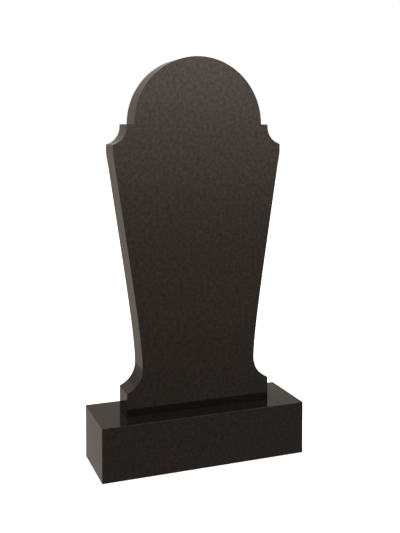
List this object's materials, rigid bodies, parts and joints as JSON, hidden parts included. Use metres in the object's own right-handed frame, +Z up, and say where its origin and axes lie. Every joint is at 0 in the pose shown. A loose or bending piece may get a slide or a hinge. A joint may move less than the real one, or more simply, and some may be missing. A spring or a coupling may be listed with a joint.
{
  "type": "headstone",
  "caption": "Upright vase-shaped stele of polished dark stone with a round-arched head and scooped shoulders, standing on a low rectangular plinth; bare inscription face.",
  "frame": {"origin": "middle of the plinth's underside, on the ground", "axes": "+Z up, X along the plinth, the inscription face looks towards -Y"},
  "size_m": [0.6, 0.2, 1.15],
  "materials": {
    "polished_granite": "mirror polished, near-black with a warm brown cast and a very fine grain"
  },
  "bodies": {
    "root": {"plinth": "polished_granite", "stele": "polished_granite"}
  },
  "joints": []
}
